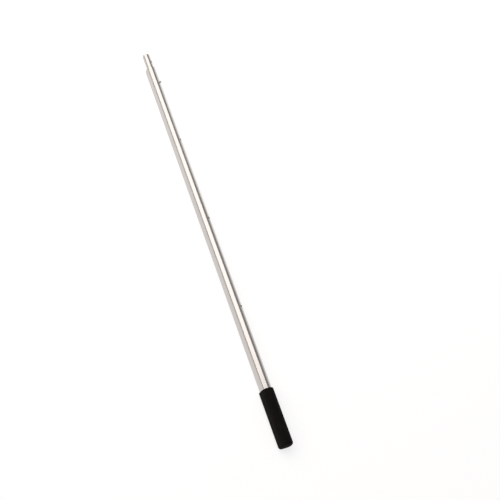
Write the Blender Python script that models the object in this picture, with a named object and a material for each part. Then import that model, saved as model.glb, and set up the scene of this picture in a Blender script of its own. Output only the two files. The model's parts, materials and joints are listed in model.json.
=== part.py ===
"""Telescoping pole handle for deck tools.

A keyed aluminium pole: a teardrop-section outer tube with a foam grip on its lower end, a round inner
tube that slides out of it, and two spring-loaded snap buttons that lock the slide. The open tip of
the inner tube is the socket that a tool's shank goes into.

Metres, +Z up. The pole is modelled in its own frame: Y runs along the bore from the grip to the tip,
-X points to the keyway and +X to the snap buttons. The empty "pole" then lays that frame down on one
flank, which is how the pole lies on a deck. Build with blender --background --python part.py.
"""

import math

import bmesh
import bpy
from mathutils import Vector

# --- Driving dimensions -------------------------------------------------------------------------
# Lengths along the pole, as Y in the pole's frame
LENGTH = 1.400                # grip end to tip, closed up
STUB = 0.060                  # inner tube standing out of the mouth, closed up
MOUTH_TO_FIRST_HOLE = 0.070
FIRST_SPACING = 0.248         # first lock hole to the second
SPACING = 0.305               # between the later lock holes
TOOL_HOLE_FROM_TIP = 0.034
GRIP_LENGTH = 0.160
GRIP_END_WALL = 0.010
TAIL_Y = -0.650               # inner tube's tail, closed up

# Section of the outer tube
TUBE_R = 0.0143
BORE_R = 0.0125
KEYWAY_AXIS = 0.01485         # bore axis to keyway axis
KEYWAY_R = 0.00425
KEYWAY_WALL = 0.0015

# Inner tube, snap buttons and grip
INNER_R = 0.0120
INNER_BORE_R = 0.0105
BUTTON_R = 0.0035
UPPER_PROUD = 0.0053          # upper button's dome above the outer tube
LOWER_PROUD = 0.0026
FOAM = 0.0036                 # grip's wall
GRIP_CORNER = 0.0080          # rounding of the grip's closed end
GRIP_CROWN = 0.0008           # how far that end bulges
GRIP_TOP_EDGE = 0.0008        # bevel of its upper edge

GAP = 0.0003                  # between pieces that touch
PAST = 0.002                  # how far a cutter runs past the face that it cuts
RIM = 0.0005                  # chamfer on the outer tube's ends
RIM_IN_BORE = 0.6             # its share inside the bore
INNER_RIM = 0.0004
INNER_RIM_IN_BORE = 0.8

# --- Worked out from them -----------------------------------------------------------------------
GRIP_END_Y = -LENGTH / 2
TIP_Y = LENGTH / 2
MOUTH_Y = TIP_Y - STUB
GRIP_TOP_Y = GRIP_END_Y + GRIP_LENGTH
HOLE_YS = [MOUTH_Y - MOUTH_TO_FIRST_HOLE]
for step in (FIRST_SPACING, SPACING, SPACING):
    HOLE_YS.append(HOLE_YS[-1] - step)
UPPER_BUTTON_Y = HOLE_YS[0]
LOWER_BUTTON_Y = HOLE_YS[-1]
TOOL_HOLE_Y = TIP_Y - TOOL_HOLE_FROM_TIP
TOE_R = KEYWAY_R + KEYWAY_WALL
HOLE_R = BUTTON_R + GAP
PRESSED_TOP = BORE_R - 0.0002      # a pressed button's dome just clears the outer tube's bore
LOWER_TRAVEL = TUBE_R + LOWER_PROUD - PRESSED_TOP

# Base plug and bumper, closing the outer tube under the grip
PLUG_FLANGE = 0.0015
TUBE_END_Y = GRIP_END_Y + GRIP_END_WALL + GAP + PLUG_FLANGE + GAP
PLUG_SPIGOT = 0.0285
PLUG_CUP_R = 0.0080
PLUG_CUP_DEPTH = 0.020
RIVET_R = 0.0019
RIVET_Y = TUBE_END_Y + 0.014
RIVET_HEAD = TUBE_R - 0.0004
RIVET_FLARE = 0.0010          # its head's countersink
BUMPER_R = 0.0117
BUMPER_BOSS = 0.012

# Tail of the inner tube
TAIL_FLANGE = 0.003
TAIL_SPIGOT = 0.038
TAIL_CUP_R = 0.0070
TAIL_CUP_DEPTH = 0.028
KEY_LENGTH = 0.044
KEY_CLEARANCE = 0.0003
SCREW_R = 0.0014
SCREW_YS = (TAIL_Y + 0.010, TAIL_Y + 0.033)
SCREW_HEAD = KEYWAY_AXIS + 0.0024    # bore axis to the top of a screw's head
SEAL_LENGTH = 0.060

# Leaf springs
LEAF_WIDTH = 0.0080
LEAF = 0.0008
LEAF_REACH = 0.0089           # bore axis to the middle of a leaf's free end, spring relaxed
BEND_R = 0.0030
LEG = 0.062                   # bend to button
LEG_PAST_BUTTON = 0.009
PAD = 0.010                   # flat round the button, before the leg slopes
NECK_R = BUTTON_R * 0.5       # button's neck through its leaf
SEAL_Y = UPPER_BUTTON_Y - LEG - 0.100

# The flanks' lie, and the frame's origin at the middle of the bounding box's bottom
FLANK_ANGLE = math.acos((TUBE_R - TOE_R) / KEYWAY_AXIS)    # keyway's direction to a flank's normal
LIE = math.pi / 2 - FLANK_ANGLE
GRIP_R = TUBE_R + FOAM
GRIP_TOE_R = TOE_R + FOAM
BORE_X = (KEYWAY_AXIS * math.cos(LIE) + GRIP_TOE_R - GRIP_R) / 2

# Points round an outline: the round back, each flank in two runs, and the toe round the keyway
BACK_STEPS = 48
FLANK_STEPS = (4, 6)
TOE_STEPS = 14
ROUND_STEPS = 32
TUBE_STEPS = 56
SCREW_STEPS = 24


# --- Shapes -------------------------------------------------------------------------------------
def arc(centre_x, radius, start, end, steps):
    """Points in X and Z round (centre_x, 0), without the last one."""
    turn = (end - start) / steps
    angles = [start + turn * i for i in range(steps)]
    return [(centre_x + radius * math.cos(a), radius * math.sin(a)) for a in angles]


def line(start, end, steps):
    """Points along a straight run, without the last one."""
    return [tuple(Vector(start).lerp(Vector(end), i / steps)) for i in range(steps)]


def teardrop(inset=0.0):
    """The outer tube's outline, moved in by inset, or out if it is negative."""
    back = TUBE_R - inset
    toe = TOE_R - inset
    turn = math.pi - FLANK_ANGLE
    run = sum(FLANK_STEPS)
    back_end = (back * math.cos(turn), back * math.sin(turn))
    toe_start = (toe * math.cos(turn) - KEYWAY_AXIS, toe * math.sin(turn))
    points = arc(0, back, -turn, turn, BACK_STEPS)
    points += line(back_end, toe_start, run)
    points += arc(-KEYWAY_AXIS, toe, turn, 2 * math.pi - turn, TOE_STEPS)
    points += line((toe_start[0], -toe_start[1]), (back_end[0], -back_end[1]), run)
    return points


def crossing(big, small):
    """Angles, seen from each centre, at which a circle round the bore meets one round the keyway."""
    along = (KEYWAY_AXIS**2 + big**2 - small**2) / (2 * KEYWAY_AXIS)
    across = math.sqrt(big**2 - along**2)
    return math.atan2(across, along), math.atan2(across, KEYWAY_AXIS - along)


def keyed_bore(inset=0.0):
    """The outer tube's bore with the keyway open into it, point for point with teardrop()."""
    bore = BORE_R - inset
    key = KEYWAY_R - inset
    from_bore, from_key = crossing(bore, key)
    turn = math.pi - FLANK_ANGLE
    full = 2 * math.pi
    points = arc(0, bore, -turn, turn, BACK_STEPS)
    points += arc(0, bore, turn, math.pi - from_bore, FLANK_STEPS[0])
    points += arc(-KEYWAY_AXIS, key, from_key, turn, FLANK_STEPS[1])
    points += arc(-KEYWAY_AXIS, key, turn, full - turn, TOE_STEPS)
    points += arc(-KEYWAY_AXIS, key, full - turn, full - from_key, FLANK_STEPS[1])
    points += arc(0, bore, math.pi + from_bore, full - turn, FLANK_STEPS[0])
    return points


def circle(radius, steps=ROUND_STEPS):
    return arc(0, radius, 0, 2 * math.pi, steps)


def at_y(y, outline):
    return [(x, y, z) for x, z in outline]


def skin(name, loops, material, parent, closed=False):
    """A solid from loops of equal count: the last joins the first if closed, else both ends are capped."""
    mesh = bpy.data.meshes.new(name)
    count = len(loops[0])
    points = [point for loop in loops for point in loop]
    pairs = [(i, i + 1) for i in range(len(loops) - 1)]
    faces = []
    if closed:
        pairs.append((len(loops) - 1, 0))
    else:
        faces.append(list(range(count)))
        faces.append([(len(loops) - 1) * count + i for i in range(count)])
    for a, b in pairs:
        for i in range(count):
            j = (i + 1) % count
            faces.append([a * count + i, a * count + j, b * count + j, b * count + i])
    mesh.from_pydata(points, [], faces)
    fixed = bmesh.new()
    fixed.from_mesh(mesh)
    bmesh.ops.recalc_face_normals(fixed, faces=fixed.faces)
    fixed.to_mesh(mesh)
    fixed.free()
    mesh.shade_smooth()
    mesh.set_sharp_from_angle(angle=math.radians(30))
    piece = bpy.data.objects.new(name, mesh)
    bpy.context.scene.collection.objects.link(piece)
    piece.parent = parent
    if material:
        mesh.materials.append(material)
    return piece


def turned(name, profile, direction, material, parent, steps=ROUND_STEPS):
    """A turned solid: profile is (distance along direction, radius), from one end to the other."""
    axis = Vector(direction).normalized()
    side = axis.orthogonal().normalized()
    other = axis.cross(side)
    loops = [
        [tuple(axis * s + side * x * r + other * z * r) for x, z in circle(1.0, steps)]
        for s, r in profile
    ]
    return skin(name, loops, material, parent)


def cut(piece, profile, direction, at):
    """Takes a turned shape out of a piece."""
    cutter = turned(f"{piece.name}_cutter", profile, direction, None, piece.parent)
    cutter.location = at
    cutter.hide_render = True
    cutter.display_type = "WIRE"
    boolean = piece.modifiers.new("hole", "BOOLEAN")
    boolean.operation = "DIFFERENCE"
    boolean.solver = "EXACT"
    boolean.object = cutter


def finish(name, color, roughness, metallic):
    material = bpy.data.materials.new(name)
    material.use_nodes = True
    shader = material.node_tree.nodes["Principled BSDF"]
    shader.inputs["Base Color"].default_value = (*color, 1)
    shader.inputs["Roughness"].default_value = roughness
    shader.inputs["Metallic"].default_value = metallic
    return material


def empty(name, location, parent=None):
    holder = bpy.data.objects.new(name, None)
    bpy.context.scene.collection.objects.link(holder)
    holder.location = location
    holder.parent = parent
    return holder


# --- Outer tube, grip and base ------------------------------------------------------------------
def make_outer_tube(parent, material):
    """The extrusion, with chamfered ends and the lock holes opposite its keyway."""
    ends = ((TUBE_END_Y, RIM), (TUBE_END_Y + RIM, 0), (MOUTH_Y - RIM, 0), (MOUTH_Y, RIM))
    loops = [at_y(y, teardrop(inset)) for y, inset in ends]
    loops += [at_y(y, keyed_bore(-inset * RIM_IN_BORE)) for y, inset in reversed(ends)]
    tube = skin("outer_tube", loops, material, parent, closed=True)
    through = ((BORE_R - PAST, HOLE_R), (TUBE_R + PAST, HOLE_R))
    for y in HOLE_YS:
        cut(tube, through, (1, 0, 0), (0, y, 0))
    for side in (1, -1):
        cut(tube, rivet_profile(GAP), (0, 0, side), (0, RIVET_Y, 0))


def shrunk(outline, share):
    """An outline drawn in towards the middle of the teardrop."""
    middle = (TUBE_R - TOE_R - KEYWAY_AXIS) / 2
    return [(middle + (x - middle) * share, z * share) for x, z in outline]


def make_grip(parent, material):
    """A foam sleeve with a closed, rounded end, stretched over the tube so that it keeps its section."""
    steps = 8
    crown_rings = ((0.75, 0.4), (0.45, 0.0))    # share of the outline, and of the crown's height
    inside_end = GRIP_END_Y + GRIP_END_WALL
    loops = [at_y(inside_end, teardrop(-GAP)), at_y(GRIP_TOP_Y, teardrop(-GAP))]
    loops.append(at_y(GRIP_TOP_Y, teardrop(GRIP_TOP_EDGE - FOAM)))
    loops.append(at_y(GRIP_TOP_Y - GRIP_TOP_EDGE, teardrop(-FOAM)))
    for i in range(steps + 1):
        turn = math.pi / 2 * i / steps
        inset = GRIP_CORNER * (1 - math.cos(turn))
        y = GRIP_END_Y + GRIP_CROWN + GRIP_CORNER * (1 - math.sin(turn))
        loops.append(at_y(y, teardrop(inset - FOAM)))
    flat = teardrop(GRIP_CORNER - FOAM)
    for share, height in crown_rings:
        loops.append(at_y(GRIP_END_Y + GRIP_CROWN * height, shrunk(flat, share)))
    skin("hand_grip", loops, material, parent)


def make_base_plug(parent, material):
    """A flanged plug that fills bore and keyway, with a cup in its inner face for the bumper."""
    flange_y = TUBE_END_Y - GAP - PLUG_FLANGE
    inner_y = TUBE_END_Y + PLUG_SPIGOT
    loops = [
        at_y(flange_y, teardrop(GAP)),
        at_y(flange_y + PLUG_FLANGE, teardrop(GAP)),
        at_y(flange_y + PLUG_FLANGE, keyed_bore(GAP)),
        at_y(inner_y, keyed_bore(GAP)),
    ]
    plug = skin("base_plug", loops, material, parent)
    cup = ((-PLUG_CUP_DEPTH, PLUG_CUP_R), (PAST, PLUG_CUP_R))
    cut(plug, cup, (0, 1, 0), (0, inner_y, 0))
    for side in (1, -1):
        cut(plug, rivet_profile(GAP), (0, 0, side), (0, RIVET_Y, 0))


def make_bumper(parent, material):
    """A rubber stop for the inner tube's tail, with a boss that sits in the base plug's cup."""
    seat = TUBE_END_Y + PLUG_SPIGOT
    face = TAIL_Y - GAP - TAIL_FLANGE - GAP
    boss_r = PLUG_CUP_R - GAP
    lead_in = 0.002
    taper = 0.0007
    edge = 0.001
    profile = (
        (seat - BUMPER_BOSS, boss_r - taper),
        (seat - BUMPER_BOSS + lead_in, boss_r),
        (seat + GAP, boss_r),
        (seat + GAP, BUMPER_R),
        (face - edge, BUMPER_R),
        (face, BUMPER_R - edge),
    )
    turned("end_bumper", profile, (0, 1, 0), material, parent)


def rivet_profile(clearance=0.0):
    """A flush rivet across the base, from its tail in the plug to its countersunk head in the wall.
    With a clearance it is the rivet's hole, which starts in the plug's cup and widens past the head."""
    tail = PLUG_CUP_R - 0.0005 if clearance else PLUG_CUP_R + 0.0010
    shank = RIVET_R + clearance
    neck = RIVET_HEAD - RIVET_FLARE - clearance * 0.5
    return ((tail, shank), (neck, shank), (RIVET_HEAD + clearance * 2, shank + RIVET_FLARE + clearance * 2.5))


def make_base_rivets(parent, material):
    for name, side in (("base_rivet_top", 1), ("base_rivet_bottom", -1)):
        rivet = turned(name, rivet_profile(), (0, 0, side), material, parent)
        rivet.location = (0, RIVET_Y, 0)


# --- Inner tube and its tail --------------------------------------------------------------------
def make_inner_tube(parent, material):
    """The sliding tube: a tool hole, a hole for each button and two for the key's screws."""
    ends = ((TAIL_Y, INNER_RIM), (TAIL_Y + INNER_RIM, 0), (TIP_Y - INNER_RIM, 0), (TIP_Y, INNER_RIM))
    loops = [at_y(y, circle(INNER_R - inset, TUBE_STEPS)) for y, inset in ends]
    inside = [(y, INNER_BORE_R + inset * INNER_RIM_IN_BORE) for y, inset in reversed(ends)]
    loops += [at_y(y, circle(radius, TUBE_STEPS)) for y, radius in inside]
    tube = skin("inner_tube", loops, material, parent, closed=True)
    through = ((INNER_BORE_R - PAST, HOLE_R), (INNER_R + PAST, HOLE_R))
    for y in (TOOL_HOLE_Y, UPPER_BUTTON_Y, LOWER_BUTTON_Y):
        cut(tube, through, (1, 0, 0), (0, y, 0))
    for y in SCREW_YS:
        cut(tube, screw_profile(GAP), (-1, 0, 0), (0, y, 0))


def make_tail_plug(parent, material):
    """A plug in the tail, with a flange that lands on the bumper and a cup to save weight."""
    start = TAIL_Y - GAP - TAIL_FLANGE
    spigot_r = INNER_BORE_R - GAP
    flange_r = INNER_R - GAP
    edge = 0.0008
    profile = (
        (start, flange_r - edge - 0.0001),
        (start + edge, flange_r),
        (start + TAIL_FLANGE, flange_r),
        (start + TAIL_FLANGE, spigot_r),
        (TAIL_Y + TAIL_SPIGOT, spigot_r),
    )
    plug = turned("tail_plug", profile, (0, 1, 0), material, parent, BACK_STEPS)
    cup = ((-TAIL_CUP_DEPTH, TAIL_CUP_R), (PAST, TAIL_CUP_R))
    cut(plug, cup, (0, 1, 0), (0, TAIL_Y + TAIL_SPIGOT, 0))
    for y in SCREW_YS:
        cut(plug, screw_profile(GAP), (-1, 0, 0), (0, y, 0))


def make_guide_key(parent, material):
    """The key that keeps the inner tube from turning: it fills the keyway and sits on the inner tube."""
    key = KEYWAY_R - KEY_CLEARANCE
    seat = INNER_R + GAP
    steps = (24, 6)
    from_bore, from_key = crossing(seat, key)
    outline = arc(-KEYWAY_AXIS, key, from_key, 2 * math.pi - from_key, steps[0])
    outline += arc(0, seat, math.pi + from_bore, math.pi - from_bore, steps[1])
    loops = [at_y(y, outline) for y in (TAIL_Y, TAIL_Y + KEY_LENGTH)]
    piece = skin("guide_key", loops, material, parent)
    for y in SCREW_YS:
        cut(piece, screw_profile(GAP), (-1, 0, 0), (0, y, 0))


def screw_profile(clearance):
    """The hole for a countersunk screw, from the tail plug's cup out past the key."""
    flare = 0.0012
    start = TAIL_CUP_R - 0.0005
    shank = SCREW_R + clearance
    head_r = shank + flare + clearance
    neck = SCREW_HEAD - flare - clearance
    return ((start, shank), (neck, shank), (SCREW_HEAD, head_r), (SCREW_HEAD + 0.0035, head_r))


def make_key_screws(parent, material):
    """Each screw runs from its point in the tail plug to its countersunk head, sunk in the key."""
    flare = 0.0012
    edge = 0.0002
    head_r = SCREW_R + 0.0011
    profile = (
        (TAIL_CUP_R + 0.0008, SCREW_R),
        (SCREW_HEAD - flare, SCREW_R),
        (SCREW_HEAD - edge, head_r),
        (SCREW_HEAD, head_r - edge / 2),
    )
    for name, y in zip(("key_screw_rear", "key_screw_front"), SCREW_YS):
        screw = turned(name, profile, (-1, 0, 0), material, parent, SCREW_STEPS)
        screw.location = (0, y, 0)


def make_seal_plug(parent, material):
    """A foam plug that keeps water out of the pole and keeps it afloat."""
    end = SEAL_Y + SEAL_LENGTH
    radius = INNER_BORE_R - GAP
    edge = 0.001
    profile = (
        (SEAL_Y, radius - edge),
        (SEAL_Y + edge, radius),
        (end - edge, radius),
        (end, radius - edge),
    )
    turned("seal_plug", profile, (0, 1, 0), material, parent)


# --- Snap buttons -------------------------------------------------------------------------------
def leaf_path(reach, heading):
    """Middle line of a V spring in X and Y from its button, heading being the bend's side along Y."""
    bend_y = heading * LEG
    free_y = -heading * LEG_PAST_BUTTON
    fixed_end = -LEAF_REACH
    slope = math.atan2(reach - BEND_R, LEG)
    steps = 12
    turns = [math.pi / 2 - math.pi * i / steps for i in range(steps + 1)]
    bend = [(BEND_R * math.sin(t), bend_y + heading * BEND_R * math.cos(t)) for t in turns]
    flat = PAD * 0.4
    free = [(reach, free_y), (reach, flat * heading), (reach - flat * math.tan(slope), 2 * flat * heading)]
    fixed = [(fixed_end * 0.98, PAD * heading), (fixed_end, flat * heading), (fixed_end, free_y)]
    return free + bend + fixed


def make_leaf_spring(name, button_y, shift, heading, parent, material):
    """A strip bent to a V, with a hole for its button: shift is how far the button is pressed in."""
    reach = LEAF_REACH - shift
    path = [Vector(point) for point in leaf_path(reach, heading)]
    left = []
    right = []
    for i, point in enumerate(path):
        before = path[max(i - 1, 0)]
        after = path[min(i + 1, len(path) - 1)]
        along = (after - before).normalized()
        across = Vector((-along.y, along.x)) * LEAF / 2
        left.append(point + across)
        right.append(point - across)
    outline = left + right[::-1]
    loops = [[(p.x, p.y + button_y, z) for p in outline] for z in (-LEAF_WIDTH / 2, LEAF_WIDTH / 2)]
    leaf = skin(name, loops, material, parent)
    hole = ((reach - PAST, NECK_R + GAP), (reach + PAST, NECK_R + GAP))
    cut(leaf, hole, (1, 0, 0), (0, button_y, 0))


def make_snap_button(name, y, proud, shift, parent, material):
    """A domed pin peened through its leaf. Its origin is on the bore axis, on its line of travel."""
    seat = LEAF_REACH + LEAF / 2 + GAP
    under = LEAF_REACH - LEAF / 2 - GAP
    top = TUBE_R + proud
    dome = BUTTON_R * 0.8
    peen = 0.0010
    peen_edge = 0.0003
    peen_r = BUTTON_R * 0.78
    profile = [
        (under - peen, BUTTON_R * 0.62),
        (under - peen + peen_edge, peen_r),
        (under, peen_r),
        (under, NECK_R),
        (seat, NECK_R),
        (seat, BUTTON_R),
        (top - dome, BUTTON_R),
    ]
    steps = 7
    for i in range(1, steps):
        turn = math.pi / 2 * i / steps
        profile.append((top - dome + dome * math.sin(turn), BUTTON_R * math.cos(turn)))
    profile.append((top, BUTTON_R * 0.08))
    travelled = [(s - shift, r) for s, r in profile]
    button = turned(name, travelled, (1, 0, 0), material, parent)
    button.location = (0, y, 0)


# --- Assembly -----------------------------------------------------------------------------------
def main():
    for old in list(bpy.data.objects):
        bpy.data.objects.remove(old)

    anodised = finish("anodised_aluminium", (0.80, 0.78, 0.76), 0.28, 1.0)
    foam = finish("black_foam", (0.018, 0.016, 0.015), 0.85, 0.0)
    nylon = finish("black_nylon", (0.03, 0.03, 0.03), 0.45, 0.0)
    rubber = finish("black_rubber", (0.02, 0.02, 0.02), 0.7, 0.0)
    closed_foam = finish("grey_closed_cell_foam", (0.05, 0.05, 0.055), 0.9, 0.0)
    stainless = finish("stainless_steel", (0.62, 0.61, 0.60), 0.2, 1.0)

    pole = empty("pole", (BORE_X, 0, GRIP_R))
    pole.rotation_euler = (0, -LIE, 0)
    make_outer_tube(pole, anodised)
    make_grip(pole, foam)
    make_base_plug(pole, nylon)
    make_bumper(pole, rubber)
    make_base_rivets(pole, anodised)

    slide = empty("slide", (0, 0, 0), pole)
    make_inner_tube(slide, anodised)
    make_tail_plug(slide, nylon)
    make_guide_key(slide, nylon)
    make_key_screws(slide, stainless)
    make_seal_plug(slide, closed_foam)
    make_leaf_spring("upper_spring", UPPER_BUTTON_Y, 0, -1, slide, stainless)
    make_leaf_spring("lower_spring", LOWER_BUTTON_Y, LOWER_TRAVEL, 1, slide, stainless)
    make_snap_button("upper_button", UPPER_BUTTON_Y, UPPER_PROUD, 0, slide, stainless)
    make_snap_button("lower_button", LOWER_BUTTON_Y, LOWER_PROUD, LOWER_TRAVEL, slide, stainless)


main()
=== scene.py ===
"""The looks of a telescoping pole handle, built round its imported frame.

Each piece is modelled in the pole's own frame, where Y runs along the bore from the grip to the tip,
-X points to the keyway and +X to the snap buttons, and is then laid down where the frame's joints and
boxes say. All sizes are in metres.
"""

import json
import math

import bmesh
import bpy
from mathutils import Matrix, Vector, noise


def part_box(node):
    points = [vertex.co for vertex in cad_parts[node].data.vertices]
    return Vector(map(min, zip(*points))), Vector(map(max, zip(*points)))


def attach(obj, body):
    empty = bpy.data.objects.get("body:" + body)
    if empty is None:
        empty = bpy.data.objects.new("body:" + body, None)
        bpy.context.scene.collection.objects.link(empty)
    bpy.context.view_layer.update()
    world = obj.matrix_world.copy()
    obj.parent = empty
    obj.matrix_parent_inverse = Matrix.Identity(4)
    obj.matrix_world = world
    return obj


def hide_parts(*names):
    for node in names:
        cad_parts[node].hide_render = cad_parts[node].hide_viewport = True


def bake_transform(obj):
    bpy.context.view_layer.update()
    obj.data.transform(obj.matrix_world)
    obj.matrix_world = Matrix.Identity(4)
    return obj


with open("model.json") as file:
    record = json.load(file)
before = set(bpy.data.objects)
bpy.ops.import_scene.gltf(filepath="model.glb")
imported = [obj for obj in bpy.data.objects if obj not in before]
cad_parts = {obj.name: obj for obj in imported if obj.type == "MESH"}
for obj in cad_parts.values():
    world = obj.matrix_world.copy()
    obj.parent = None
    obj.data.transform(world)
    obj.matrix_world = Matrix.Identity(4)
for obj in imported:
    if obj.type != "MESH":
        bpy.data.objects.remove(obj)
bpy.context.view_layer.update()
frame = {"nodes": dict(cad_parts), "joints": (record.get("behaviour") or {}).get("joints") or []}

# --- Places, read from the frame ----------------------------------------------------------------
joints = {joint["name"]: joint for joint in frame["joints"]}
button_axis = Vector(joints["upper_button_press"]["axis"])
LIE = math.atan2(button_axis.z, button_axis.x)
inner_low, inner_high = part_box("inner_tube")
bore = (inner_low + inner_high) / 2
POLE = Matrix.Translation((bore.x, 0, bore.z)) @ Matrix.Rotation(-LIE, 4, "Y")
side_axis = POLE.to_3x3() @ Vector((0, 0, 1))

TAIL_Y = inner_low.y
TIP_Y = inner_high.y
TUBE_END_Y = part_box("outer_tube")[0].y
MOUTH_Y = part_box("outer_tube")[1].y
GRIP_END_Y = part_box("hand_grip")[0].y
GRIP_TOP_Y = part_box("hand_grip")[1].y


def middle_y(node):
    low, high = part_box(node)
    return (low.y + high.y) / 2


def heights(node, axis=button_axis):
    """How far a node reaches below and above the bore's axis, along an axis across the pole."""
    centre = Vector((bore.x, 0, bore.z))
    reaches = [(vertex.co - centre).dot(axis) for vertex in frame["nodes"][node].data.vertices]
    return min(reaches), max(reaches)


UPPER_BUTTON_Y = middle_y("upper_button")
LOWER_BUTTON_Y = middle_y("lower_button")
RIVET_Y = middle_y("base_rivet_top")
SCREW_YS = (middle_y("key_screw_rear"), middle_y("key_screw_front"))
TOOL_HOLE_Y = TIP_Y - 0.034
FIRST_SPACING = 0.248         # from the first lock hole to the second; the others are spaced evenly
SPACING = (UPPER_BUTTON_Y - FIRST_SPACING - LOWER_BUTTON_Y) / 2
HOLE_YS = [
    UPPER_BUTTON_Y,
    UPPER_BUTTON_Y - FIRST_SPACING,
    UPPER_BUTTON_Y - FIRST_SPACING - SPACING,
    LOWER_BUTTON_Y,
]

# --- The section, as in the CAD -----------------------------------------------------------------
TUBE_R = 0.0143
BORE_R = 0.0125
KEYWAY_AXIS = 0.01485
KEYWAY_R = 0.00425
TOE_R = 0.00575
INNER_R = 0.0120
INNER_BORE_R = 0.0105
BUTTON_R = 0.0035
NECK_R = BUTTON_R * 0.5       # a button's neck, in the hole of its leaf
HOLE_R = 0.0038
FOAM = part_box("hand_grip")[1].z / 2 - TUBE_R
RIM = 0.0005                  # width of the outer tube's end chamfers
GAP = 0.0003                  # play between a piece and what it sits in
SMALLEST = 0.000002           # points nearer than this are made one
PAST = 0.002                  # how far a cutter runs past the face that it cuts
RIVET_R = 0.0019
RIVET_FLARE = 0.0010          # how far and how deep a countersunk head spreads
PLUG_CUP_R = 0.0080
PLUG_CUP_DEPTH = 0.020
TAIL_CUP_R = 0.0070
TAIL_CUP_DEPTH = 0.028
SCREW_R = 0.0014
SCREW_FLARE = 0.0012
LEAF = 0.0008
LEAF_REACH = 0.0089           # bore axis to the middle of a spring's fixed leaf
LEAF_HALF_WIDTH = 0.0040
BEND_R = 0.0030
LEG = 0.062                   # a spring's bend to its button
LEG_PAST_BUTTON = 0.009
PAD = 0.0040                  # flat of a spring's free leaf, from its button's middle to the slope
FLANK_ANGLE = math.acos((TUBE_R - TOE_R) / KEYWAY_AXIS)

# Points round the outer tube: its back, each flank by the bore and by the keyway, and its toe
BACK_STEPS = 176
FLANK_STEPS = (12, 16)
TOE_STEPS = 48
INNER_STEPS = 224
HOLE_STEPS = 64
SCREW_STEPS = 48

# An eased chamfer, as shares of its width: along the tube, and in from the surface
EASED = ((0.0, 1.0), (0.10, 0.82), (0.82, 0.10), (1.0, 0.0))
# Rings of points round a tube, from the middle of each hole, so that cutting it leaves no long slivers
BESIDE_HOLE = (-0.009, -0.0042, 0.0042, 0.009)

# The finishes of a tube, in the order in which place() takes their materials; the bore's finish is painted
# near black as shade
SKIN, CUT, BORE = range(3)
MOST_FINISHES = 3


# --- Outlines, in X and Z of the pole's frame ---------------------------------------------------
def arc(centre_x, radius, start, end, steps):
    """Points from start up to, but not at, end."""
    turn = (end - start) / steps
    angles = [start + turn * i for i in range(steps)]
    return [(centre_x + radius * math.cos(a), radius * math.sin(a)) for a in angles]


def line(start, end, steps):
    return [tuple(Vector(start).lerp(Vector(end), i / steps)) for i in range(steps)]


def teardrop(inset=0.0):
    """The outer tube's outline, moved in by inset, or out if it is negative."""
    back = TUBE_R - inset
    toe = TOE_R - inset
    turn = math.pi - FLANK_ANGLE
    run = sum(FLANK_STEPS)
    back_end = (back * math.cos(turn), back * math.sin(turn))
    toe_start = (toe * math.cos(turn) - KEYWAY_AXIS, toe * math.sin(turn))
    points = arc(0, back, -turn, turn, BACK_STEPS)
    points += line(back_end, toe_start, run)
    points += arc(-KEYWAY_AXIS, toe, turn, 2 * math.pi - turn, TOE_STEPS)
    points += line((toe_start[0], -toe_start[1]), (back_end[0], -back_end[1]), run)
    return points


def crossing(big, small):
    """Angles, seen from each centre, at which a circle round the bore meets one round the keyway."""
    along = (KEYWAY_AXIS**2 + big**2 - small**2) / (2 * KEYWAY_AXIS)
    across = math.sqrt(big**2 - along**2)
    return math.atan2(across, along), math.atan2(across, KEYWAY_AXIS - along)


def keyed_bore(inset=0.0):
    """The bore with the keyway open into it, point for point with teardrop()."""
    bore_r = BORE_R - inset
    key = KEYWAY_R - inset
    from_bore, from_key = crossing(bore_r, key)
    turn = math.pi - FLANK_ANGLE
    full = 2 * math.pi
    points = arc(0, bore_r, -turn, turn, BACK_STEPS)
    points += arc(0, bore_r, turn, math.pi - from_bore, FLANK_STEPS[0])
    points += arc(-KEYWAY_AXIS, key, from_key, turn, FLANK_STEPS[1])
    points += arc(-KEYWAY_AXIS, key, turn, full - turn, TOE_STEPS)
    points += arc(-KEYWAY_AXIS, key, full - turn, full - from_key, FLANK_STEPS[1])
    points += arc(0, bore_r, math.pi + from_bore, full - turn, FLANK_STEPS[0])
    return points


def circle(radius, steps):
    return arc(0, radius, 0, 2 * math.pi, steps)


# --- Mesh work ----------------------------------------------------------------------------------
def at_y(y, outline):
    return [(x, y, z) for x, z in outline]


def add_object(name, data):
    thing = bpy.data.objects.new(name, data)
    bpy.context.scene.collection.objects.link(thing)
    return thing


def skin(name, loops, closed=False, finishes=None, sharp=30):
    """A solid from loops of equal count: the last joins the first if closed, else both ends are capped.
    finishes has one finish for the strip after each loop."""
    count = len(loops[0])
    points = [point for loop in loops for point in loop]
    pairs = [(i, i + 1) for i in range(len(loops) - 1)]
    faces = []
    indexes = []
    if closed:
        pairs.append((len(loops) - 1, 0))
    else:
        faces.append(list(range(count)))
        faces.append([(len(loops) - 1) * count + i for i in range(count)])
        indexes += [SKIN, SKIN]
    for a, b in pairs:
        for i in range(count):
            j = (i + 1) % count
            faces.append([a * count + i, a * count + j, b * count + j, b * count + i])
            indexes.append(finishes[a] if finishes else SKIN)
    mesh = bpy.data.meshes.new(name)
    mesh.from_pydata(points, [], faces)
    mesh.polygons.foreach_set("material_index", indexes)
    fixed = bmesh.new()
    fixed.from_mesh(mesh)
    bmesh.ops.recalc_face_normals(fixed, faces=fixed.faces)
    fixed.to_mesh(mesh)
    fixed.free()
    smooth(mesh, sharp)
    return add_object(name, mesh)


def smooth(mesh, sharp=30):
    mesh.shade_smooth()
    mesh.set_sharp_from_angle(angle=math.radians(sharp))


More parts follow.
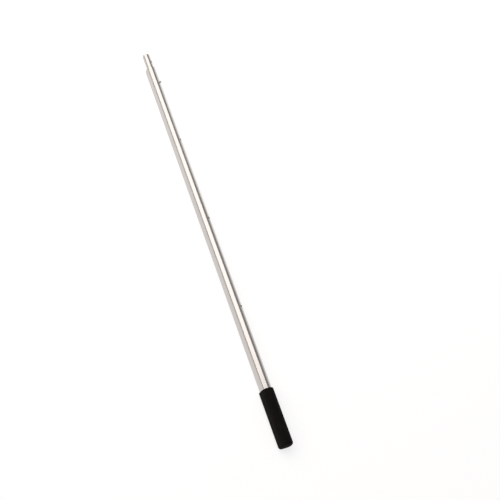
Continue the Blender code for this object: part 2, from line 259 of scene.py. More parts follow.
def turned(name, profile, direction=(0, 1, 0), at=(0, 0, 0), steps=96, sharp=30):
    """A turned solid: profile is (distance along direction, radius), from one end to the other."""
    axis = Vector(direction).normalized()
    side = axis.orthogonal().normalized()
    other = axis.cross(side)
    start = Vector(at)
    loops = [
        [tuple(start + axis * s + side * x * r + other * z * r) for x, z in circle(1.0, steps)]
        for s, r in profile
    ]
    return skin(name, loops, sharp=sharp)


def rounded(corner, before, after, radius, steps=6):
    """Points of a profile round one corner, with one more on each side to keep the flats flat."""
    corner = Vector(corner)
    to_before = Vector(before) - corner
    to_after = Vector(after) - corner
    back = to_before.normalized() * min(radius, to_before.length * 0.3)
    on = to_after.normalized() * min(radius, to_after.length * 0.3)
    shares = [i / steps for i in range(steps + 1)]
    curve = [tuple(corner + back * (1 - t) ** 2 + on * t**2) for t in shares]
    return [tuple(corner + back * 1.5), *curve, tuple(corner + on * 1.5)]


def eased(profile, radius):
    """A profile with each corner between its two ends rounded."""
    points = [profile[0]]
    for before, corner, after in zip(profile, profile[1:], profile[2:]):
        points += rounded(corner, before, after, radius)
    return [*points, profile[-1]]


def hole_cutter(y, wall_r, depth=0.004, edge=0.00018):
    """A round hole through a tube's wall, its own wall painted near black as the shade inside it, with an
    even bright chamfer that follows the wall's curve."""
    loops = []
    for radius, lift in ((HOLE_R, None), (HOLE_R, -edge), (HOLE_R + edge, 0.0), (HOLE_R + edge, PAST)):
        loop = []
        for along, z in circle(radius, HOLE_STEPS):
            height = wall_r - depth if lift is None else math.sqrt(wall_r**2 - z**2) + lift
            loop.append((height, y + along, z))
        loops.append(loop)
    return skin("cutter", loops, finishes=(BORE, CUT, CUT))


def turned_cutter(profile, direction, y, finish=SKIN):
    """A turned hole about a line through the bore's axis at y, in one finish."""
    cutter = turned("cutter", profile, direction, at=(0, y, 0), steps=HOLE_STEPS)
    cutter.data.polygons.foreach_set("material_index", [finish] * len(cutter.data.polygons))
    return cutter


def cup_cutter(y, depth, radius):
    """A cup along the bore, open at y and blunt at its bottom."""
    blunt = 0.001
    profile = ((-depth, radius * 0.9), (-depth + blunt, radius), (PAST, radius))
    return turned_cutter(profile, (0, 1, 0), y)


def pierce(piece, cutters):
    """Takes the cutters out of a piece and leaves a plain mesh without slivers. Each cut face keeps its
    cutter's finish, which works only while all of them have enough material slots."""
    for solid in (piece, *cutters):
        for _ in range(MOST_FINISHES):
            solid.data.materials.append(None)
    for cutter in cutters:
        boolean = piece.modifiers.new("hole", "BOOLEAN")
        boolean.operation = "DIFFERENCE"
        boolean.solver = "EXACT"
        boolean.object = cutter
    graph = bpy.context.evaluated_depsgraph_get()
    mesh = bpy.data.meshes.new_from_object(piece.evaluated_get(graph))
    cleaned = bmesh.new()
    cleaned.from_mesh(mesh)
    bmesh.ops.remove_doubles(cleaned, verts=cleaned.verts, dist=SMALLEST)
    bmesh.ops.dissolve_degenerate(cleaned, edges=cleaned.edges, dist=SMALLEST)
    cleaned.to_mesh(mesh)
    cleaned.free()
    piece.modifiers.clear()
    piece.data = mesh
    smooth(mesh)
    for cutter in cutters:
        bpy.data.objects.remove(cutter)


def dress(piece, node, slot, *materials):
    """Lays a piece down on its CAD node's place and gives it its materials, one for each finish."""
    piece.data.transform(POLE)
    indexes = [min(polygon.material_index, len(materials) - 1) for polygon in piece.data.polygons]
    piece.data.materials.clear()
    for material in materials:
        piece.data.materials.append(material)
    piece.data.polygons.foreach_set("material_index", indexes)
    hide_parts(node)


def place(piece, body, node, slot, *materials):
    """Dresses a piece and lets it ride on its body."""
    dress(piece, node, slot, *materials)
    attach(piece, body)


# --- Materials ----------------------------------------------------------------------------------
class Finish:
    """A Principled material and its nodes. Noise scales are lumps in a metre, bump heights are metres."""

    def __init__(self, name, color, roughness, metallic=0.0, specular=0.5):
        self.material = bpy.data.materials.new(name)
        self.material.use_nodes = True
        self.tree = self.material.node_tree
        self.shader = self.tree.nodes["Principled BSDF"]
        self.shader.inputs["Base Color"].default_value = (*color, 1)
        self.shader.inputs["Roughness"].default_value = roughness
        self.shader.inputs["Metallic"].default_value = metallic
        self.shader.inputs["Specular IOR Level"].default_value = specular
        self.places = self.tree.nodes.new("ShaderNodeTexCoord").outputs["Object"]

    def add(self, kind, **values):
        node = self.tree.nodes.new(kind)
        for key, value in values.items():
            setattr(node, key, value)
        return node

    def link(self, start, end):
        self.tree.links.new(start, end)

    def noise(self, scale, detail=3.0, roughness=0.5, stretch=(1, 1, 1)):
        """Noise over the object, with stretch as its scale along each axis."""
        mapping = self.add("ShaderNodeMapping")
        mapping.inputs["Scale"].default_value = stretch
        self.link(self.places, mapping.inputs["Vector"])
        texture = self.add("ShaderNodeTexNoise")
        texture.inputs["Scale"].default_value = scale
        texture.inputs["Detail"].default_value = detail
        texture.inputs["Roughness"].default_value = roughness
        self.link(mapping.outputs["Vector"], texture.inputs["Vector"])
        return texture.outputs["Fac"]

    def cells(self, scale, feature="F1"):
        texture = self.add("ShaderNodeTexVoronoi", feature=feature)
        texture.inputs["Scale"].default_value = scale
        self.link(self.places, texture.inputs["Vector"])
        return texture.outputs["Distance"]

    def spread(self, value, low, high, start=0.0, end=1.0):
        """Maps a value from low..high to start..end."""
        node = self.add("ShaderNodeMapRange")
        node.inputs["From Min"].default_value = low
        node.inputs["From Max"].default_value = high
        node.inputs["To Min"].default_value = start
        node.inputs["To Max"].default_value = end
        self.link(value, node.inputs["Value"])
        return node.outputs["Result"]

    def maths(self, operation, first, second):
        node = self.add("ShaderNodeMath", operation=operation)
        for socket, value in zip(node.inputs, (first, second)):
            if isinstance(value, (int, float)):
                socket.default_value = value
            else:
                self.link(value, socket)
        return node.outputs["Value"]

    def shade(self, factor, dark, light):
        """Colours the surface from dark to light with a factor."""
        mix = self.add("ShaderNodeMix", data_type="RGBA")
        mix.inputs["A"].default_value = (*dark, 1)
        mix.inputs["B"].default_value = (*light, 1)
        self.link(factor, mix.inputs["Factor"])
        self.link(mix.outputs["Result"], self.shader.inputs["Base Color"])

    def roughen(self, value):
        self.link(value, self.shader.inputs["Roughness"])

    def bump(self, height, distance, strength=1.0):
        """Adds a bump of that height in metres on top of any earlier one."""
        node = self.add("ShaderNodeBump")
        node.inputs["Strength"].default_value = strength
        node.inputs["Distance"].default_value = distance
        self.link(height, node.inputs["Height"])
        earlier = self.shader.inputs["Normal"].links
        if earlier:
            self.link(earlier[0].from_socket, node.inputs["Normal"])
        self.link(node.outputs["Normal"], self.shader.inputs["Normal"])


def anodised(name, tone):
    """Satin anodised extrusion: fine die lines along the tube, cloudy roughness and small colour drift."""
    warm = (tone, tone * 0.952, tone * 0.918)
    finish = Finish(name, warm, 0.3, metallic=1.0)
    lines = finish.noise(900, detail=4, roughness=0.6, stretch=(1, 0.004, 1))
    clouds = finish.noise(9, detail=3, stretch=(1, 0.35, 1))
    specks = finish.noise(1400, detail=2)
    finish.shade(
        finish.spread(finish.maths("ADD", lines, clouds), 0.7, 1.3),
        tuple(c * 0.955 for c in warm),
        tuple(c * 1.03 for c in warm),
    )
    cloudy = finish.spread(clouds, 0.3, 0.7, 0.20, 0.25)
    finish.roughen(finish.maths("ADD", cloudy, finish.spread(lines, 0.2, 0.8, -0.025, 0.025)))
    finish.bump(lines, 0.000012, 0.5)
    finish.bump(specks, 0.000006, 0.4)
    return finish.material


def machined(name):
    """Bare aluminium where a tube was cut, chamfered or drilled: bright, with fine turning marks."""
    finish = Finish(name, (0.90, 0.90, 0.89), 0.14, metallic=1.0)
    marks = finish.noise(5200, detail=2)
    finish.roughen(finish.spread(marks, 0.3, 0.7, 0.12, 0.22))
    finish.bump(marks, 0.000008, 0.5)
    return finish.material


def painted_shade_bore(name):
    """The inside of a drawn tube and the walls of its holes: painted near black as the shade deep inside
    them, dull, with faint streaks along it.
    """
    finish = Finish(name, (0.012, 0.012, 0.015), 0.7, specular=0.25)
    streaks = finish.noise(420, detail=4, roughness=0.7, stretch=(1, 0.02, 1))
    finish.shade(finish.spread(streaks, 0.35, 0.7), (0.008, 0.008, 0.011), (0.018, 0.018, 0.021))
    finish.roughen(finish.spread(streaks, 0.3, 0.7, 0.6, 0.8))
    finish.bump(streaks, 0.00003, 0.5)
    return finish.material


def foam_skin():
    """Black foam: fine pores, a lightly scuffed skin and soft lumps."""
    finish = Finish("black_foam", (0.006, 0.0055, 0.005), 0.9, specular=0.12)
    pores = finish.cells(1500)
    grain = finish.noise(2600, detail=3, roughness=0.7)
    lumps = finish.noise(240, detail=2)
    scuff = finish.noise(60, detail=6, roughness=0.7, stretch=(1, 0.5, 1))
    finish.shade(finish.spread(scuff, 0.45, 0.75), (0.0070, 0.0056, 0.0051), (0.0125, 0.0106, 0.0098))
    finish.roughen(finish.spread(grain, 0.3, 0.7, 0.82, 0.97))
    finish.bump(lumps, 0.00025, 0.5)
    finish.bump(finish.spread(pores, 0.0, 0.55), 0.00016, 0.7)
    finish.bump(grain, 0.00006, 0.5)
    return finish.material


def sealing_foam():
    """Cut closed-cell foam: grey-black, its cells open where the knife went through, with painted shade
    that darkens the pit of each cell.
    """
    finish = Finish("sealing_foam", (0.05, 0.05, 0.055), 0.9, specular=0.2)
    cells = finish.cells(900)
    # painted shade: the colour darkens towards each cell's pit, where the bump is lowest
    finish.shade(finish.spread(cells, 0.0, 0.6), (0.030, 0.030, 0.034), (0.075, 0.075, 0.080))
    finish.roughen(finish.spread(cells, 0.0, 0.6, 0.95, 0.8))
    finish.bump(cells, 0.0003, 0.8)
    return finish.material


def moulded_nylon():
    """Black nylon with a spark-eroded mould texture and pale flow clouds."""
    finish = Finish("moulded_nylon", (0.03, 0.03, 0.03), 0.45, specular=0.5)
    texture = finish.noise(3800, detail=3, roughness=0.6)
    flow = finish.noise(70, detail=3, stretch=(1, 0.3, 1))
    finish.shade(finish.spread(flow, 0.35, 0.7), (0.020, 0.020, 0.021), (0.040, 0.040, 0.041))
    finish.roughen(finish.spread(texture, 0.3, 0.7, 0.38, 0.55))
    finish.bump(texture, 0.00003, 0.6)
    return finish.material


def moulded_rubber():
    """Soft black rubber with a dusty bloom."""
    finish = Finish("moulded_rubber", (0.02, 0.02, 0.02), 0.75, specular=0.3)
    bloom = finish.noise(160, detail=5, roughness=0.65)
    grain = finish.noise(3000, detail=2)
    finish.shade(finish.spread(bloom, 0.4, 0.75), (0.014, 0.014, 0.014), (0.040, 0.039, 0.037))
    finish.roughen(finish.spread(bloom, 0.3, 0.7, 0.65, 0.85))
    finish.bump(grain, 0.00004, 0.5)
    return finish.material


def set_aluminium():
    """A rivet's head, burnished and marked by the setting tool."""
    finish = Finish("set_aluminium", (0.78, 0.78, 0.78), 0.3, metallic=1.0)
    marks = finish.noise(1600, detail=4, roughness=0.7)
    finish.shade(finish.spread(marks, 0.35, 0.7), (0.66, 0.66, 0.66), (0.80, 0.80, 0.80))
    finish.roughen(finish.spread(marks, 0.3, 0.7, 0.22, 0.4))
    finish.bump(marks, 0.00001, 0.6)
    return finish.material


def steel(name, color, roughness, stretch, depth):
    """Stainless steel with fine scratches, which run along the axis where stretch is small."""
    finish = Finish(name, color, roughness, metallic=1.0)
    scratches = finish.noise(3000, detail=4, roughness=0.7, stretch=stretch)
    stains = finish.noise(260, detail=3)
    dark = tuple(c * 0.93 for c in color)
    light = tuple(c * 1.03 for c in color)
    finish.shade(finish.spread(stains, 0.35, 0.7), dark, light)
    finish.roughen(finish.spread(scratches, 0.3, 0.7, roughness * 0.7, roughness * 1.5))
    finish.bump(scratches, depth, 0.4)
    return finish.material


# --- Pieces of the outer tube -------------------------------------------------------------------
def tube_skin(name, start, end, rim, inner_share, holes, outline, bore_outline):
    """A tube with eased, bright chamfers rim wide at both ends, which go inner_share as deep into the
    bore's side of the wall. Both outlines take how far they are set into the wall, and holes are listed
    from the tip down."""
    low = [(start + along * rim, inset * rim) for along, inset in EASED]
    rings = [(start + 2 * rim, 0.0)]
    rings += [(y + away, 0.0) for y in reversed(holes) for away in BESIDE_HOLE]
    rings.append((end - 2 * rim, 0.0))
    high = [(end - along * rim, inset * rim) for along, inset in reversed(EASED)]
    outside = low + rings + high
    inside = [(y, inset * inner_share) for y, inset in reversed(outside)]
    loops = [at_y(y, outline(inset)) for y, inset in outside]
    loops += [at_y(y, bore_outline(inset)) for y, inset in inside]
    cut = [CUT] * (len(EASED) - 1)
    plain = len(rings) + 1
    # the bore's faces take the bore finish, which is painted near black as shade
    finishes = [*cut, *[SKIN] * plain, *cut, CUT, *cut, *[BORE] * plain, *cut, CUT]
    return skin(name, loops, closed=True, finishes=finishes)


def make_outer_tube(skin_metal, cut_metal, bore_shade_metal):
    """The keyed extrusion, with a row of lock holes opposite the keyway and two rivet holes."""
    tube = tube_skin(
        "outer_tube_body", TUBE_END_Y, MOUTH_Y, rim=RIM, inner_share=0.6, holes=HOLE_YS,
        outline=teardrop,
        bore_outline=lambda inset: keyed_bore(-inset),
    )
    cutters = [hole_cutter(y, TUBE_R) for y in HOLE_YS]
    cutters += [turned_cutter(rivet_hole(), (0, 0, side), RIVET_Y, CUT) for side in (1, -1)]
    pierce(tube, cutters)
    place(tube, "grip_tube", "outer_tube", "outer_tube_aluminium", skin_metal, cut_metal, bore_shade_metal)


def make_grip(material):
    """The foam sleeve: closed, rounded end, an eased upper edge and a faintly uneven skin."""
    corner = 0.0080               # radius round the closed end
    crown = 0.0008                # how far that end bulges
    edge = 0.0008                 # radius of the upper edge
    wall = 0.010                  # foam past the tube's end
    edge_steps, side_steps, corner_steps, crown_steps = 4, 150, 14, 9
    outer = []
    for i in range(edge_steps + 1):
        turn = math.pi / 2 * i / edge_steps
        outer.append((GRIP_TOP_Y - edge * (1 - math.cos(turn)), edge * (1 - math.sin(turn))))
    top = GRIP_TOP_Y - edge
    bottom = GRIP_END_Y + crown + corner
    outer += [(top + (bottom - top) * i / side_steps, 0.0) for i in range(1, side_steps)]
    for i in range(corner_steps + 1):
        turn = math.pi / 2 * i / corner_steps
        outer.append((bottom - corner * math.sin(turn), corner * (1 - math.cos(turn))))
    loops = [at_y(GRIP_END_Y + wall, teardrop(-GAP)), at_y(GRIP_TOP_Y, teardrop(-GAP))]
    loops += [at_y(y, teardrop(inset - FOAM)) for y, inset in outer]
    flat = teardrop(corner - FOAM)
    centre = (TUBE_R - TOE_R - KEYWAY_AXIS) / 2
    for i in range(1, crown_steps):
        share = 1 - i / crown_steps
        y = GRIP_END_Y + crown * share**2
        loops.append(at_y(y, [(centre + (x - centre) * share, z * share) for x, z in flat]))
    grip = skin("hand_grip_foam", loops, sharp=40)
    soften(grip.data, 2 * len(flat))
    place(grip, "grip_tube", "hand_grip", "grip_foam", material)


def soften(mesh, start):
    """Sinks the foam's outer skin by up to a fifth of a millimetre, in lumps a few millimetres wide. The
    skin is the vertices from start on, below the grip's upper edge."""
    depth = 0.00012
    coarse, fine = 170, 420       # lumps in a metre
    upper_edge = GRIP_TOP_Y - 0.0001
    normals = [vertex.normal.copy() for vertex in mesh.vertices]
    for vertex, normal in list(zip(mesh.vertices, normals))[start:]:
        if vertex.co.y > upper_edge:
            continue
        lump = noise.noise(vertex.co * coarse) * 0.5 + noise.noise(vertex.co * fine) * 0.3
        vertex.co -= normal * depth * (lump + 0.8)
    mesh.update()


def rivet_hole():
    """The countersunk hole for a base rivet, through the tube's wall into the base plug."""
    head = heights("base_rivet_top", side_axis)[1]
    shank = RIVET_R + GAP
    return (
        (PLUG_CUP_R - PAST / 2, shank),
        (head - RIVET_FLARE, shank),
        (head + GAP, shank + RIVET_FLARE + GAP),
        (TUBE_R + PAST, shank + RIVET_FLARE + GAP),
    )


def make_base_rivets(material):
    """Flush rivets: a burnished head with a dimple, and a plain shank that ends in the plug."""
    low, head = heights("base_rivet_top", side_axis)
    flare_r = RIVET_R + RIVET_FLARE
    corner = 0.00015
    body = [(low, RIVET_R * 0.6), (low, RIVET_R), (head - RIVET_FLARE, RIVET_R)]
    body += [(head, flare_r), (head, RIVET_R)]
    dimple = ((0.00012, 0.8), (0.0003, 0.4), (0.00034, 0.1))
    profile = eased(body, corner) + [(head - depth, RIVET_R * share) for depth, share in dimple]
    for side, end in ((1, "top"), (-1, "bottom")):
        rivet = turned(f"rivet_{end}", profile, (0, 0, side), at=(0, RIVET_Y, 0), steps=HOLE_STEPS)
        place(rivet, "grip_tube", f"base_rivet_{end}", "rivet_aluminium", material)


def make_base_plug(material):
    """The flanged plug that fills bore and keyway under the grip, with a cup that the bumper sits in."""
    low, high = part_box("base_plug")
    flange = 0.0015
    ease = 0.0003
    shoulder = low.y + flange
    sections = [(low.y, teardrop(GAP + ease)), (low.y + ease, teardrop(GAP)), (shoulder, teardrop(GAP))]
    sections += [(shoulder, keyed_bore(GAP)), (high.y - 2 * ease, keyed_bore(GAP))]
    sections.append((high.y, keyed_bore(GAP + ease)))
    plug = skin("base_plug_body", [at_y(y, outline) for y, outline in sections])
    cutters = [cup_cutter(high.y, PLUG_CUP_DEPTH, PLUG_CUP_R)]
    cutters += [turned_cutter(rivet_hole(), (0, 0, side), RIVET_Y) for side in (1, -1)]
    pierce(plug, cutters)
    place(plug, "grip_tube", "base_plug", "black_nylon", material)


def make_bumper(material):
    """The rubber stop: a disc with rounded edges and a grooved boss that sits in the plug's cup."""
    low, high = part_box("end_bumper")
    boss_r = PLUG_CUP_R - GAP
    disc_r = (heights("end_bumper")[1] - heights("end_bumper")[0]) / 2
    disc = low.y + 0.0123
    taper, taper_run = 0.0007, 0.002
    first_groove, pitch = 0.0035, 0.0026
    groove = ((0.0, 0.0), (0.0004, 0.0005), (0.0010, 0.0005), (0.0014, 0.0))
    corner = 0.00018
    profile = [(low.y, boss_r * 0.4), (low.y, boss_r - taper), (low.y + taper_run, boss_r)]
    for i in range(3):
        start = low.y + first_groove + pitch * i
        profile += [(start + along, boss_r - depth) for along, depth in groove]
    profile += [(disc, boss_r), (disc, disc_r), (high.y, disc_r), (high.y, disc_r * 0.3)]
    bumper = turned("bumper_body", eased(profile, corner), sharp=50)
    place(bumper, "grip_tube", "end_bumper", "black_rubber", material)


# --- Pieces of the inner tube -------------------------------------------------------------------
def make_inner_tube(skin_metal, cut_metal, bore_shade_metal):
    """The sliding tube: round, with a tool hole, a hole for each button and two screw holes."""
    holes = (TOOL_HOLE_Y, UPPER_BUTTON_Y, LOWER_BUTTON_Y)
    tube = tube_skin(
        "inner_tube_body", TAIL_Y, TIP_Y, rim=RIM * 0.8, inner_share=0.8, holes=holes,
        outline=lambda inset: circle(INNER_R - inset, INNER_STEPS),
        bore_outline=lambda inset: circle(INNER_BORE_R + inset, INNER_STEPS),
    )
    cutters = [hole_cutter(y, INNER_R) for y in holes]
    cutters += [turned_cutter(screw_hole(), (-1, 0, 0), y, CUT) for y in SCREW_YS]
    pierce(tube, cutters)
    place(tube, "sliding_tube", "inner_tube", "inner_tube_aluminium", skin_metal, cut_metal, bore_shade_metal)


def screw_hole():
    """The countersunk hole for a key screw, from the tail plug's cup out past the key."""
    head = -heights("key_screw_rear")[0]
    shank = SCREW_R + GAP
    head_r = shank + SCREW_FLARE + GAP
    return (
        (TAIL_CUP_R - PAST / 4, shank),
        (head - SCREW_FLARE - GAP, shank),
        (head, head_r),
        (head + 2 * PAST, head_r),
    )


def make_tail_plug(material):
    """The plug in the tail: a rounded flange that lands on the bumper, and a cup to save weight."""
    low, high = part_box("tail_plug")
    spigot_r = INNER_BORE_R - GAP
    flange_r = INNER_R - GAP
    shoulder = TAIL_Y - GAP
    corner = 0.0005
    profile = [(low.y, flange_r * 0.4), (low.y, flange_r), (shoulder, flange_r)]
    profile += [(shoulder, spigot_r), (high.y, spigot_r), (high.y, spigot_r * 0.85)]
    plug = turned("tail_plug_body", eased(profile, corner))
    cutters = [cup_cutter(high.y, TAIL_CUP_DEPTH, TAIL_CUP_R)]
    cutters += [turned_cutter(screw_hole(), (-1, 0, 0), y) for y in SCREW_YS]
    pierce(plug, cutters)
    place(plug, "sliding_tube", "tail_plug", "black_nylon", material)


def key_outline(inset):
    """A round key in the keyway, hollowed where it rests on the inner tube."""
    key = KEYWAY_R - GAP - inset
    seat = INNER_R + GAP + inset
    from_bore, from_key = crossing(seat, key)
    points = arc(-KEYWAY_AXIS, key, from_key, 2 * math.pi - from_key, 72)
    return points + arc(0, seat, math.pi + from_bore, math.pi - from_bore, 20)


def make_guide_key(material):
    """The key that rides in the keyway, with eased ends and countersunk screw holes."""
    low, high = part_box("guide_key")
    ease = 0.0012
    ends = [(low.y + along * ease, inset * ease / 2) for along, inset in EASED]
    ends += [(high.y - along * ease, inset * ease / 2) for along, inset in reversed(EASED)]
    key = skin("guide_key_body", [at_y(y, key_outline(inset)) for y, inset in ends])
    pierce(key, [turned_cutter(screw_hole(), (-1, 0, 0), y) for y in SCREW_YS])
    place(key, "sliding_tube", "guide_key", "black_nylon", material)


def threaded(name, y, start, head):
    """A countersunk screw along -X: a thread from start up to a short plain neck, and an eased head
    with no recess yet."""
    pitch = 0.0005
    depth = 0.00018
    per_turn = 6
    neck = head - SCREW_FLARE
    plain = 0.0006
    point = 0.0003                # by how much the screw's tip is slimmer
    head_r = SCREW_R + 0.0011
    count = round((neck - start - plain) / pitch * per_turn)
    round_axis = circle(1.0, SCREW_STEPS)
    loops = []
    for i in range(count + 1):
        s = start + pitch * i / per_turn
        fade = min(1.0, i / per_turn, (count - i) / per_turn)
        loop = []
        for a, (across, up) in enumerate(round_axis):
            wave = (i / per_turn - a / SCREW_STEPS) % 1.0
            r = SCREW_R - depth * fade * abs(2 * wave - 1) - (point if i == 0 else 0.0)
            loop.append((-s, y + r * across, r * up))
        loops.append(loop)
    edge = [(neck, SCREW_R), (head - 0.0002, head_r)]
    edge += [(head - 0.00005, head_r - 0.00002), (head, head_r - 0.00015)]
    loops += [[(-s, y + r * across, r * up) for across, up in round_axis] for s, r in edge]
    return skin(name, loops, sharp=50)


def cross_recess(y, head):
    """Two crossed, tapered blades that cut a screw's driving recess."""
    thin = 0.00024
    corners = ((1, 1), (-1, 1), (-1, -1), (1, -1))
    blades = []
    for long_y in (True, False):
        loops = []
        for s, half in ((head - 0.0012, 0.0005), (head + PAST / 2, 0.0015)):
            y_half, z_half = (half, thin) if long_y else (thin, half)
            loops.append([(-s, y + a * y_half, b * z_half) for a, b in corners])
        blades.append(skin("cutter", loops))
    return blades


def make_key_screws(material):
    """The two countersunk screws that hold the key, their heads towards -X."""
    low, high = heights("key_screw_rear")
    for end, y in zip(("rear", "front"), SCREW_YS):
        screw = threaded(f"screw_{end}", y, -high, -low)
        pierce(screw, cross_recess(y, -low))
        place(screw, "sliding_tube", f"key_screw_{end}", "stainless_steel", material)


def make_seal_plug(material):
    """The foam plug in the bore: eased ends and a slightly wavy side."""
    low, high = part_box("seal_plug")
    radius = INNER_BORE_R - GAP
    corner = 0.0010
    depth = 0.00010
    waves = 160                   # in a metre
    count = 40
    side = [(low.y + (high.y - low.y) * i / count, radius) for i in range(count + 1)]
    profile = [(low.y, radius * 0.3), *side, (high.y, radius * 0.3)]
    plug = turned("seal_plug_foam", rounded_ends(profile, corner))
    for vertex in plug.data.vertices:
        wave = depth * (noise.noise(vertex.co * waves) + 1)
        reach = math.hypot(vertex.co.x, vertex.co.z)
        if reach > radius / 2:
            vertex.co.x -= vertex.co.x / reach * wave
            vertex.co.z -= vertex.co.z / reach * wave
    place(plug, "sliding_tube", "seal_plug", "closed_cell_foam", material)


def rounded_ends(profile, radius):
    """A profile with the corners at its two ends rounded."""
    start = rounded(profile[1], profile[0], profile[2], radius)
    end = rounded(profile[-2], profile[-3], profile[-1], radius)
    return [profile[0], *start, *profile[2:-2], *end, profile[-1]]


# --- Snap buttons and their springs -------------------------------------------------------------
def make_button(name, node, body, y, material):
    """A domed pin with a turned neck, peened over under its leaf."""
    under, top = heights(node)
    dome = BUTTON_R * 0.8
    peen_r = BUTTON_R * 0.78
    peen = under + 0.0010
    seat = under + 0.0024
    corner = 0.0002
    profile = [(under, peen_r * 0.4), (under, peen_r), (peen, peen_r), (peen, NECK_R)]
    profile += [(seat, NECK_R), (seat, BUTTON_R), (top - dome, BUTTON_R)]
    profile = eased(profile, corner)
    steps = 20
    for i in range(1, steps):
        turn = math.pi / 2 * i / steps
        profile.append((top - dome + dome * math.sin(turn), BUTTON_R * math.cos(turn)))
    profile.append((top, BUTTON_R * 0.02))
    button = turned(name, profile, direction=(1, 0, 0), at=(0, y, 0))
    place(button, body, node, "button_steel", material)


def smoother(path, rounds=3):
    """Cuts a path's corners, each round at a quarter of the way along both sides."""
    for _ in range(rounds):
        cut = [path[0]]
        for a, b in zip(path, path[1:]):
            cut += [a.lerp(b, 0.25), a.lerp(b, 0.75)]
        path = [*cut, path[-1]]
    return path


def leaf_path(reach, heading):
    """Middle line of a V spring in X and Y from its button, heading being the bend's side along Y."""
    steps = 12
    slope = (reach - BEND_R) / LEG
    free = [(reach, -LEG_PAST_BUTTON), (reach, 0.0), (reach, PAD), (reach - PAD * slope, 2 * PAD)]
    turns = [math.pi / 2 - math.pi * i / steps for i in range(steps + 1)]
    bend = [(BEND_R * math.sin(t), LEG + BEND_R * math.cos(t)) for t in turns]
    fixed = [(-LEAF_REACH * 0.98, 2.5 * PAD), (-LEAF_REACH, PAD), (-LEAF_REACH, 0.0)]
    fixed.append((-LEAF_REACH, -LEG_PAST_BUTTON))
    return smoother([Vector((x, y * heading)) for x, y in free + bend + fixed])


def make_spring(name, node, button_y, heading, material):
    """Rolled strip bent to a V, with rounded ends and edges, and a hole for its button's neck."""
    reach = heights(node)[1] - LEAF / 2
    path = leaf_path(reach, heading)
    ease = LEAF * 0.3
    corner = LEAF_HALF_WIDTH * 0.6
    thick = LEAF / 2
    loops = []
    for i, point in enumerate(path):
        along = (path[min(i + 1, len(path) - 1)] - path[max(i - 1, 0)]).normalized()
        across = Vector((-along.y, along.x))
        left = min((point - path[0]).length, (point - path[-1]).length)
        short = corner - math.sqrt(max(corner**2 - max(corner - left, 0.0) ** 2, 0.0))
        half = LEAF_HALF_WIDTH - short
        section = [(thick, half - ease), (thick - ease, half), (ease - thick, half), (-thick, half - ease)]
        section += [(t, -h) for t, h in reversed(section)]
        points = [(point + across * t, h) for t, h in section]
        loops.append([(flat.x, flat.y + button_y, h) for flat, h in points])
    spring = skin(name, loops, sharp=40)
    hole = ((reach - PAST, NECK_R + GAP), (reach + PAST, NECK_R + GAP))
    pierce(spring, [turned_cutter(hole, (1, 0, 0), button_y)])
    dress(spring, node, "stainless_steel", material)
    bend_leaf(spring)


def bend_leaf(spring):
    """Bakes the spring's placement into its points; the whole spring stays where it was laid down, and its
    free leaf does not follow its button.
    """
    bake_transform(spring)


# --- Studio -------------------------------------------------------------------------------------
def make_floor():
    """A wide floor that glows by itself, so that it comes out white."""
    reach = 40
    corners = [(-reach, -reach, 0), (reach, -reach, 0), (reach, reach, 0), (-reach, reach, 0)]
    mesh = bpy.data.meshes.new("floor")
    mesh.from_pydata(corners, [], [(0, 1, 2, 3)])
    floor = add_object("floor", mesh)
    finish = Finish("pale_floor", (0.42, 0.42, 0.42), 0.9, specular=0.0)
    finish.shader.inputs["Emission Color"].default_value = (1, 1, 1, 1)
    finish.shader.inputs["Emission Strength"].default_value = 0.75
    mesh.materials.append(finish.material)


def area_light(name, width, length, radiance, location, turn, color=(1, 1, 1)):
    data = bpy.data.lights.new(name, "AREA")
    data.shape = "RECTANGLE"
    data.size = width
    data.size_y = length
    data.energy = radiance * math.pi * width * length
    data.color = color
    light = add_object(name, data)
    light.location = location
    light.rotation_euler = turn
    light.visible_camera = False


def panel(name, angle, distance, width, start_y, end_y, radiance, color=(1, 1, 1)):
    """A long light facing the pole. angle is its lean from straight above towards -X, in degrees."""
    lean = math.radians(angle)
    location = (-math.sin(lean) * distance, (start_y + end_y) / 2, math.cos(lean) * distance)
    area_light(name, width, end_y - start_y, radiance, location, (0, -lean, 0), color)


def end_panel(name, y, size, radiance):
    """A light beyond the tip, which brightens what faces along the pole."""
    area_light(name, size, size, radiance, (0, y, size / 2), (-math.pi / 2, 0, math.pi))


def make_world(strength, seen):
    """A weak light from all round, which the camera sees as a pale backdrop of strength seen."""
    world = bpy.data.worlds.new("studio")
    world.use_nodes = True
    tree = world.node_tree
    background = tree.nodes["Background"]
    background.inputs["Color"].default_value = (1, 0.985, 0.97, 1)
    paths = tree.nodes.new("ShaderNodeLightPath")
    choice = tree.nodes.new("ShaderNodeMapRange")
    choice.inputs["To Min"].default_value = strength
    choice.inputs["To Max"].default_value = seen
    tree.links.new(paths.outputs["Is Camera Ray"], choice.inputs["Value"])
    tree.links.new(choice.outputs["Result"], background.inputs["Strength"])
    bpy.context.scene.world = world


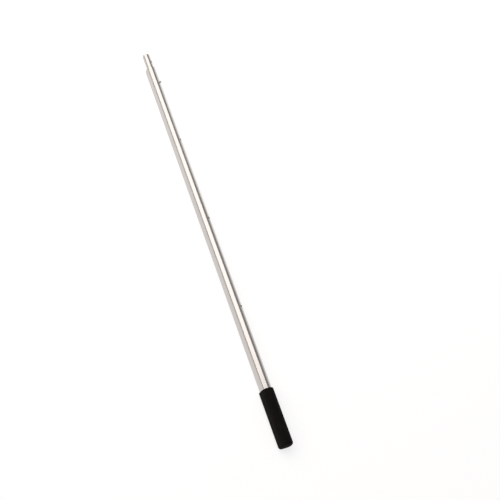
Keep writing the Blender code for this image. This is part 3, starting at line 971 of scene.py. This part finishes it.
def make_camera():
    """Above the pole and behind its grip, turned so that the pole leans across the frame."""
    azimuth, elevation, roll = (math.radians(a) for a in (-27.59, 57.68, 10.63))
    distance = 2.379
    target = Vector((0.0969, -0.1164, 0.0186))
    back = Vector((
        math.sin(azimuth) * math.cos(elevation),
        -math.cos(azimuth) * math.cos(elevation),
        math.sin(elevation),
    ))
    data = bpy.data.cameras.new("camera")
    data.lens = 58.85
    data.sensor_width = 36
    camera = add_object("camera", data)
    aim = (-back).to_track_quat("-Z", "Y").to_matrix().to_4x4()
    turn = aim @ Matrix.Rotation(roll, 4, "Z")
    camera.matrix_world = Matrix.Translation(target + back * distance) @ turn
    bpy.context.scene.camera = camera


outer_metal = anodised("satin_anodised_outer", 0.58)
inner_metal = anodised("satin_anodised_inner", 0.58)
cut_metal = machined("machined_aluminium")
# painted shade: the bores and the holes' walls are coloured near black for the shade inside them
bore_shade_metal = painted_shade_bore("bore_painted_shade")
nylon = moulded_nylon()
button_steel = steel("polished_stainless", (0.52, 0.51, 0.49), 0.16, (1, 0.05, 0.6), 0.000004)
spring_steel = steel("rolled_stainless", (0.60, 0.60, 0.59), 0.24, (1, 0.03, 1), 0.000008)
screw_steel = steel("screw_stainless", (0.62, 0.62, 0.61), 0.2, (1, 1, 1), 0.000005)
make_outer_tube(outer_metal, cut_metal, bore_shade_metal)
make_grip(foam_skin())
make_base_plug(nylon)
make_base_rivets(set_aluminium())
make_bumper(moulded_rubber())
make_inner_tube(inner_metal, cut_metal, bore_shade_metal)
make_tail_plug(nylon)
make_guide_key(nylon)
make_key_screws(screw_steel)
make_seal_plug(sealing_foam())
make_button("upper_button_pin", "upper_button", "upper_lock", UPPER_BUTTON_Y, button_steel)
make_button("lower_button_pin", "lower_button", "lower_lock", LOWER_BUTTON_Y, button_steel)
make_spring("upper_leaf_spring", "upper_spring", UPPER_BUTTON_Y, -1, spring_steel)
make_spring("lower_leaf_spring", "lower_spring", LOWER_BUTTON_Y, 1, spring_steel)
make_floor()
make_camera()
make_world(strength=0.29, seen=1.1)
warm_white = (1, 0.965, 0.935)
panel("overhead", 18, distance=3.6, width=6.8, start_y=0.5, end_y=6.5, radiance=1.6, color=warm_white)
panel("side", -82, distance=4.5, width=1.7, start_y=-3.0, end_y=9.0, radiance=0.27)
panel("side_tip", -82, distance=4.6, width=1.7, start_y=3.2, end_y=9.0, radiance=0.40)
panel("far_side", 84, distance=4.5, width=2.2, start_y=-3.0, end_y=7.0, radiance=0.40)
end_panel("tip", y=3.2, size=1.6, radiance=1.2)
bpy.context.scene.view_settings.view_transform = "Standard"
